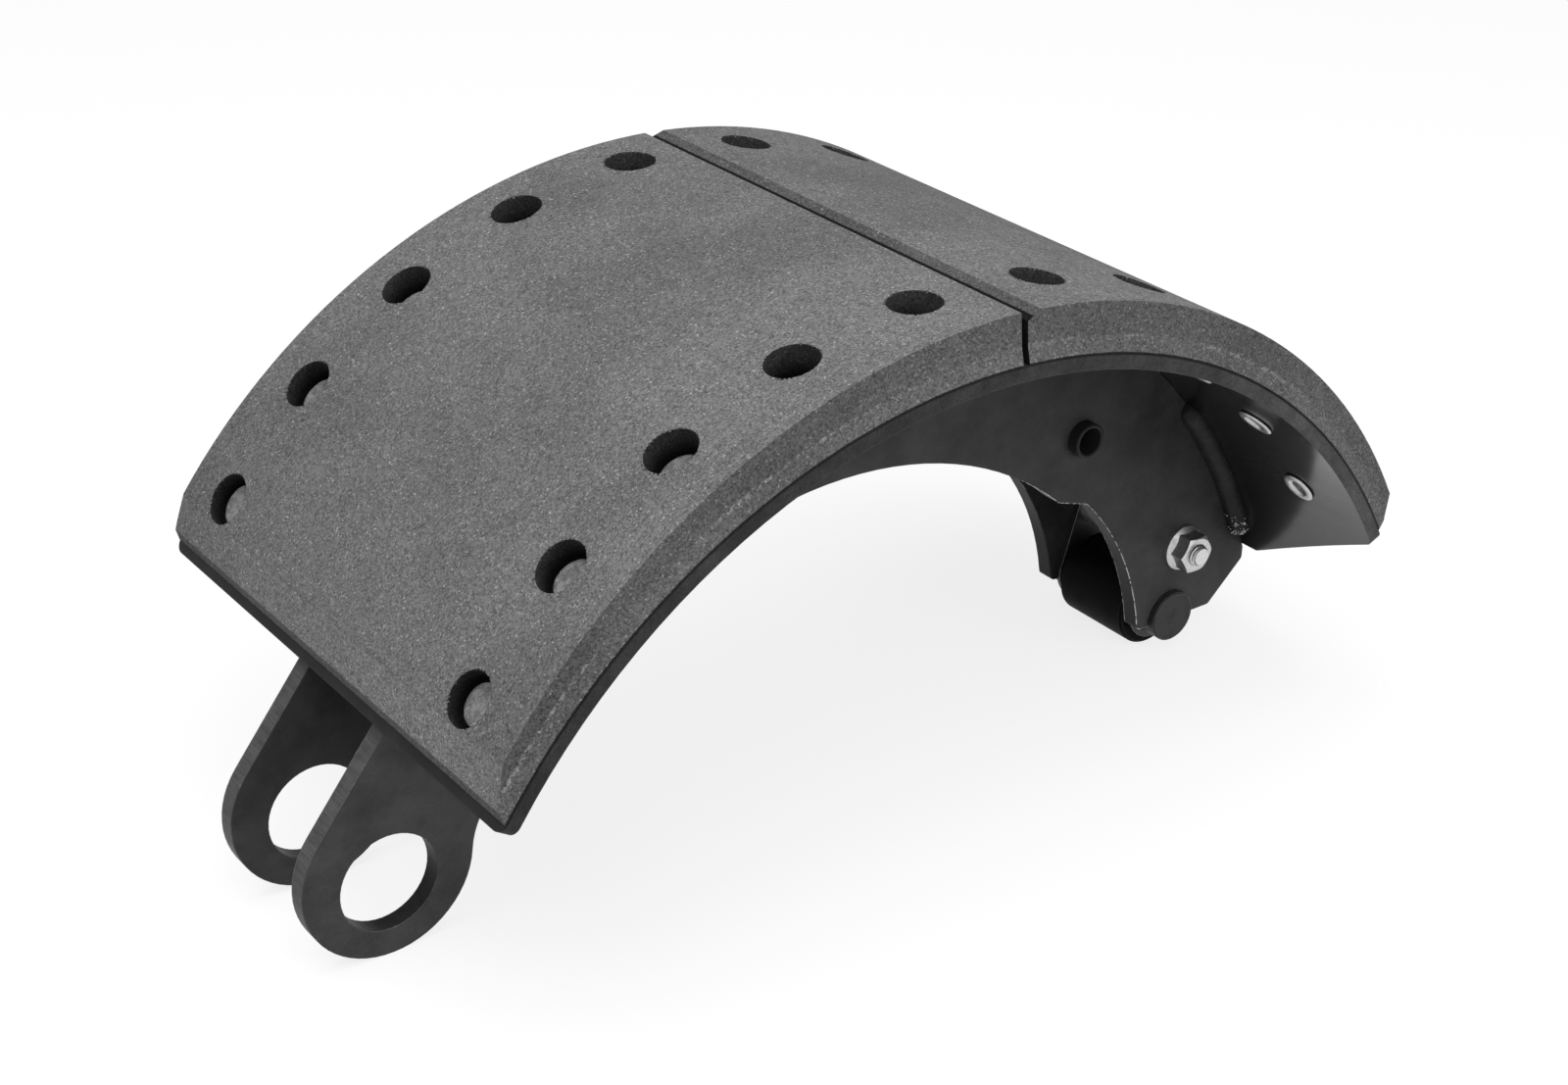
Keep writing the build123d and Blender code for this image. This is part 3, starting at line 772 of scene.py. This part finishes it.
# %% Four beads on their arcs
def rippled(bead, tube, place):
    """A tube with crescents across it, and with its back held inside the root radius."""
    spot = bead.parts(place)
    across = (spot.other("Y") - bead.size("Centre Y")) / bead.size("Bead Radius")
    reach_x = spot - shoe_axis.x
    reach_z = spot.other("Z") - shoe_axis.z
    turn = reach_x.math("ARCTAN2", reach_x, reach_z)
    step = turn * bead.size("Centre Radius") / bead.size("Ripple Spacing") + across * across * 1.6
    step = step + bead.noise(place, 5 * mm) * 1.2
    crest = (step * pi).change("SINE").change("ABSOLUTE") * bead.size("Ripple Depth")
    wander = (bead.noise(place, 6 * mm) - 0.5) * bead.size("Wander")
    push = bead.vector("SCALE", bead.node("GeometryNodeInputNormal"))
    bead.tree.links.new((crest + wander).output, push.output.node.inputs["Scale"])
    tube = bead.node("GeometryNodeSetPosition", None, {"Geometry": tube, "Offset": push})
    deepest = (reach_x * reach_x + reach_z * reach_z) ** 0.5
    hold = deepest.math("MINIMUM", 1.0, bead.size("Root Radius") * deepest ** -1)
    held_x = reach_x * hold + shoe_axis.x
    held_z = reach_z * hold + shoe_axis.z
    return bead.moved(tube, bead.joined(held_x, spot.other("Y"), held_z))


def make_bead(name, node, hand, arc):
    """A bead over an arc in degrees, on the far web where hand is 1 and on the near one where -1."""
    sizes = dict(bead_sizes)
    sizes["Start Angle"], sizes["End Angle"] = arc
    sizes["Centre Y"] = hand * (web_outer_face + 0.2 * mm)
    bead = Shape(name, sizes)
    place = bead.node("GeometryNodeInputPosition")
    line, radius = bead_line(bead, place)
    line = bead.node("GeometryNodeSetCurveRadius", None, {"Curve": line, "Radius": radius})
    ring = bead.node("GeometryNodeCurvePrimitiveCircle", None, {"Resolution": bead_sides, "Radius": 1.0})
    tube = {"Curve": line, "Profile Curve": ring, "Fill Caps": True, "Scale": radius}
    tube = bead.node("GeometryNodeCurveToMesh", None, tube)
    tube = rippled(bead, tube, place)
    piece = bead.keep(tube, finishes["weld_paint"], name, crease=60)
    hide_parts(node)
    return piece


near_cam_bead = make_bead("near_cam_bead", "near_cam_weld", -1, cam_arc)
far_cam_bead = make_bead("far_cam_bead", "far_cam_weld", 1, cam_arc)
make_bead("near_anchor_bead", "near_anchor_weld", -1, anchor_arc)
make_bead("far_anchor_bead", "far_anchor_weld", 1, anchor_arc)

# %% [markdown]
# ## Spatter
# The arc throws small drops that freeze where they land, most of them round the end of a bead.
# They could be placed by hand, but scattering points over the bead's own skin keeps every drop
# seated on it. One mask keeps them to the last few degrees of the arc, and another to the skin
# that shows, clear of the web and the table.

# %% Drops on the stop ends of the cam beads
spatter_finish = make_metal("bright_spatter", 0.5, 0.4, 0.5 * mm, 0.6)


def make_spatter(name, bead):
    sizes = {"End Angle": cam_arc[1], "Reach": 4.2, "Smallest": 0.12 * mm, "Largest": 0.42 * mm}
    drops = Shape(name, {**sizes, "Drops Per Area": 1.1e6})
    spot = drops.parts(drops.node("GeometryNodeInputPosition"))
    across = spot - shoe_axis.x
    up = spot.other("Z") - shoe_axis.z
    angle = across.math("ARCTAN2", across, up) * (180 / pi)
    edge = drops.size("End Angle") - drops.size("Reach")
    radius = (across * across + up * up) ** 0.5
    off_web = spot.other("Y").change("ABSOLUTE").between(web_outer_face, web_outer_face + 0.4 * mm)
    in_view = off_web * (1 - radius.between(web_outer_radius - 0.4 * mm, web_outer_radius))
    density = angle.between(edge, drops.size("End Angle")) * drops.size("Drops Per Area") * in_view
    seats = {"Mesh": drops.start, "Density": density, "Seed": 5}
    seats = drops.node("GeometryNodeDistributePointsOnFaces", None, seats)
    ball = drops.node("GeometryNodeMeshIcoSphere", None, {"Radius": 1.0, "Subdivisions": 1})
    scale = drops.random(drops.size("Smallest"), drops.size("Largest"), 7)
    balls = {"Points": seats, "Instance": ball, "Scale": scale}
    balls = drops.node("GeometryNodeInstanceOnPoints", None, balls)
    piece = drops.keep(balls, spatter_finish, name, bead.data.copy())


make_spatter("near_cam_spatter", near_cam_bead)
make_spatter("far_cam_spatter", far_cam_bead)

# %% [markdown]
# ## The bolt's threaded end
# The end of the bolt stands out of its nut with its thread in view. A Screw modifier can wind one,
# but its ends are open and ragged. Here the thread is a sheet of points rolled into a rod: each
# point's radius follows a saw tooth that slips by one pitch in every turn, and closes at both ends.

# %% The bolt without its end
thread_root_y = -26.8 * mm
bolt_end_y = -36.2 * mm
print("a thread of", round((thread_root_y - bolt_end_y) / mm, 1), "mm")


def plain_bolt():
    """The CAD bolt, cut off and closed where its thread starts."""
    form = merged_copy("retainer_bolt")
    everything = form.verts[:] + form.edges[:] + form.faces[:]
    cut = {"plane_co": (0, thread_root_y - 0.3 * mm, 0), "plane_no": (0, -1, 0), "clear_outer": True}
    bmesh.ops.bisect_plane(form, geom=everything, dist=touching / 10, **cut)
    bmesh.ops.holes_fill(form, edges=[edge for edge in form.edges if edge.is_boundary])
    mesh = bpy.data.meshes.new("plain_bolt")
    form.to_mesh(mesh)
    form.free()
    return mesh


# %% Thread on the bolt
thread_turn_steps = 40
thread_sizes = {
    "Radius": 3.98 * mm,
    "Depth": 0.62 * mm,
    "Pitch": 1.25 * mm,
    "Point": 0.8 * mm,
    "Length": thread_root_y - bolt_end_y,
    "Rings": 92,
}


def threaded_rod(thread):
    """A sheet rolled into a rod; its first and last rings shrink to a point and close it."""
    rings = thread.size("Rings")
    sheet = {"Size X": 1.0, "Size Y": 1.0, "Vertices X": rings, "Vertices Y": thread_turn_steps + 1}
    sheet = thread.node("GeometryNodeMeshGrid", None, sheet)
    spot = thread.parts(thread.node("GeometryNodeInputPosition"))
    order = ((spot + 0.5) * (rings - 1)).change("ROUND")
    inside = (order - 1) / (rings - 3)
    length = thread.size("Length")
    along = inside.limited() * length
    turn = spot.other("Y") + 0.5
    tooth = (along / thread.size("Pitch") + turn).change("FRACT") * 2 - 1
    groove = (tooth.change("ABSOLUTE") * 1.25).limited()
    radius = thread.size("Radius") - thread.size("Depth") * groove
    point = thread.size("Radius") - thread.size("Point") + length - along
    radius = radius.math("MINIMUM", radius, point)
    open_run = inside.math("GREATER_THAN", inside, -0.001) * inside.math("LESS_THAN", inside, 1.001)
    radius = radius * open_run
    angle = turn * (2 * pi)
    x = radius * angle.change("COSINE") + bolt_centre.x
    z = radius * angle.change("SINE") + bolt_centre.z
    return thread.joined_up(thread.moved(sheet, thread.joined(x, thread_root_y - along, z)))


def make_threaded_bolt():
    thread = Shape("bolt_thread", thread_sizes)
    both = thread.node("GeometryNodeJoinGeometry", None, {0: threaded_rod(thread)})
    thread.tree.links.new(thread.start.output, both.output.node.inputs[0])
    bolt = thread.keep(both, make_thread_finish(), "threaded_bolt", plain_bolt())
    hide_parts("retainer_bolt")


make_threaded_bolt()

# %% [markdown]
# ## Chipped pockets
# Friction lining is brittle, and the drill that opens the rivet pockets breaks small crumbs out of
# their rims. A bump can't show that, because the rim is an outline against a dark pocket. So small
# uneven stones are set round every rim, half of them at random, and cut away from the lining.

# %% The rims of the pockets
drum_axis = Vector((169.62, 0, -42.62)) * mm
drum_radius = 206.5 * mm
chip_sizes = {
    "Rim Radius": 8.4 * mm,
    "Share": 0.55,
    "Smallest": 0.22 * mm,
    "Largest": 0.75 * mm,
    "Stones Per Rim": 40,
}
print(chip_sizes["Stones Per Rim"], "places for a stone on each rim")


def pocket_rims(chips):
    """Rings of points at the pockets' places, moved out to the face that the drum's radius gives."""
    rim = {"Vertices": chips.size("Stones Per Rim"), "Radius": chips.size("Rim Radius")}
    rim = chips.node("GeometryNodeMeshCircle", None, rim)
    lift = {"Geometry": rim, "Translation": (0.0, 0.0, drum_radius)}
    rim = chips.node("GeometryNodeTransform", None, lift)
    sites, turns = rivet_sites(chips)
    rims = {"Points": sites, "Instance": rim, "Rotation": turns}
    rims = chips.node("GeometryNodeInstanceOnPoints", None, rims)
    rims = chips.node("GeometryNodeRealizeInstances", None, {0: rims})
    spot = chips.parts(chips.node("GeometryNodeInputPosition"))
    across = spot - drum_axis.x
    up = spot.other("Z") - drum_axis.z
    stretch = drum_radius * (across * across + up * up) ** -0.5
    place = chips.joined(across * stretch + drum_axis.x, spot.other("Y"), up * stretch + drum_axis.z)
    return chips.moved(rims, place)


# %% Linings with crumbled rims
def loose_stones(chips, rims):
    """Uneven stones at a random share of the rims' points, with their faces marked broken."""
    stone = chips.node("GeometryNodeMeshIcoSphere", None, {"Radius": 1.0, "Subdivisions": 1})
    least, most = chips.size("Smallest"), chips.size("Largest")
    scale = chips.joined(*[chips.random(least, most, seed) for seed in (11, 12, 13)])
    turn = chips.joined(*[chips.random(0.0, pi, seed) for seed in (14, 15, 16)])
    chosen = chips.random(0.0, 1.0, 17)
    chosen = chosen.math("LESS_THAN", chosen, chips.size("Share"))
    stones = {"Points": rims, "Selection": chosen, "Instance": stone, "Rotation": turn, "Scale": scale}
    stones = chips.node("GeometryNodeInstanceOnPoints", None, stones)
    stones = chips.node("GeometryNodeRealizeInstances", None, {0: stones})
    mark = {"Geometry": stones, "Name": "broken", "Value": True}
    faces = {"data_type": "BOOLEAN", "domain": "FACE"}
    return chips.node("GeometryNodeStoreNamedAttribute", faces, mark)


def make_ground_lining(name, node):
    form = merged_copy(node)
    plain = bpy.data.meshes.new(name)
    form.to_mesh(plain)
    form.free()
    chips = Shape(name, {**site_sizes, **chip_sizes})
    cut = {"Mesh 1": chips.start, "Mesh 2": loose_stones(chips, pocket_rims(chips))}
    ground = chips.node("GeometryNodeMeshBoolean", {"operation": "DIFFERENCE", "solver": "EXACT"}, cut)
    piece = chips.keep(ground, finishes["friction_lining"], name, plain, crease=25)
    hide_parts(node)


make_ground_lining("ground_anchor_lining", "anchor_lining")
make_ground_lining("ground_cam_lining", "cam_lining")

# %% [markdown]
# ## Floor, light and camera
# A catalogue picture has a white floor and broad, even light. The floor is paper that the camera
# sees lifted to white, and the shoe's own shadow still falls on it, faintly. The light that it
# throws back is kept low, so the shoe's inside stays dark. One soft lamp hangs above and a weaker
# one stands in front, and the sky, which fills the shadows, looks white from the camera.

# %% Floor
floor_level = cad_box[0].z
floor_size = 8.0
paper_shade = 0.3
shadow_share = 0.3
paper_white = 1.1


def make_floor():
    form = bmesh.new()
    bmesh.ops.create_grid(form, x_segments=1, y_segments=1, size=floor_size / 2)
    mesh = bpy.data.meshes.new("floor")
    form.to_mesh(mesh)
    form.free()
    floor = bpy.data.objects.new("floor", mesh)
    floor.location.z = floor_level
    bpy.context.scene.collection.objects.link(floor)
    material = bpy.data.materials.new("white_paper")
    material.use_nodes = True
    paper = Graph(material.node_tree)
    paper.tree.nodes.clear()
    path = paper.node("ShaderNodeLightPath", output="Is Camera Ray")
    seen = (path + path.other("Is Glossy Ray") + path.other("Is Transmission Ray")).limited()
    plain = paper.node("ShaderNodeBsdfDiffuse", None, {"Color": [paper_shade] * 3 + [1]})
    faint = paper.node("ShaderNodeBsdfDiffuse", None, {"Color": [shadow_share] * 3 + [1]})
    glow = paper.node("ShaderNodeEmission", None, {"Strength": paper_white - shadow_share})
    white = paper.node("ShaderNodeAddShader", None, {0: faint, 1: glow})
    floor_look = paper.node("ShaderNodeMixShader", None, {0: seen, 1: plain, 2: white})
    paper.node("ShaderNodeOutputMaterial", None, {"Surface": floor_look})
    mesh.materials.append(material)


make_floor()
print("floor at", round(floor_level / mm, 2), "mm")

# %% Sky
sky_fill = 0.336
sky_mirrored = 0.8


def make_sky():
    """White to the camera, less bright in reflections, and dimmest where it fills the shadows."""
    world = bpy.data.worlds.new("pale_sky")
    bpy.context.scene.world = world
    world.use_nodes = True
    sky = Graph(world.node_tree)
    sky.tree.nodes.clear()
    path = sky.node("ShaderNodeLightPath", output="Is Camera Ray")
    mirrored = (path.other("Is Glossy Ray") + path.other("Is Transmission Ray")).limited()
    strength = sky_fill + path * (1 - sky_fill) + mirrored * (sky_mirrored - sky_fill)
    light = sky.node("ShaderNodeBackground", None, {"Color": [1, 1, 1, 1], "Strength": strength})
    sky.node("ShaderNodeOutputWorld", None, {"Surface": light})


make_sky()
print("sky at", sky_fill, "of white")

# %% Lamps
def make_lamp(name, place, target, size, power):
    data = bpy.data.lights.new(name, "AREA")
    data.size = size
    data.energy = power
    lamp = bpy.data.objects.new(name, data)
    lamp.location = place
    lamp.rotation_euler = (Vector(target) - Vector(place)).to_track_quat("-Z", "Y").to_euler()
    bpy.context.scene.collection.objects.link(lamp)


middle = (cad_box[0] + cad_box[1]) / 2
make_lamp("top_softbox", middle + Vector((-0.5, -0.3, 1.6)), middle, size=1.6, power=18)
make_lamp("front_softbox", middle + Vector((0.6, -1.7, 0.7)), middle, size=1.2, power=8)
print("2 lamps aimed at", [round(value / mm) for value in middle], "mm")

# %% Camera
camera_place = Vector((-0.29106, -0.59518, 0.44439))
camera_forward = Vector((0.52139, 0.71417, -0.46702))
camera_right = Vector((0.81122, -0.58462, 0.01165))
sensor_width = 36.0
lens = 59.28
shift = (0.0328, 0.0085)

camera_data = bpy.data.cameras.new("camera")
camera_data.sensor_width = sensor_width
camera_data.lens = lens
camera_data.shift_x, camera_data.shift_y = shift
camera_data.clip_start = 0.01
camera = bpy.data.objects.new("camera", camera_data)
camera_up = camera_right.cross(camera_forward)
turn = Matrix((camera_right, camera_up, -camera_forward)).transposed()
camera.matrix_world = Matrix.Translation(camera_place) @ turn.to_4x4()
bpy.context.scene.collection.objects.link(camera)
bpy.context.scene.camera = camera
bpy.context.scene.view_settings.view_transform = "Standard"
print("camera lens", lens, "mm at", [round(value / mm) for value in camera_place], "mm")
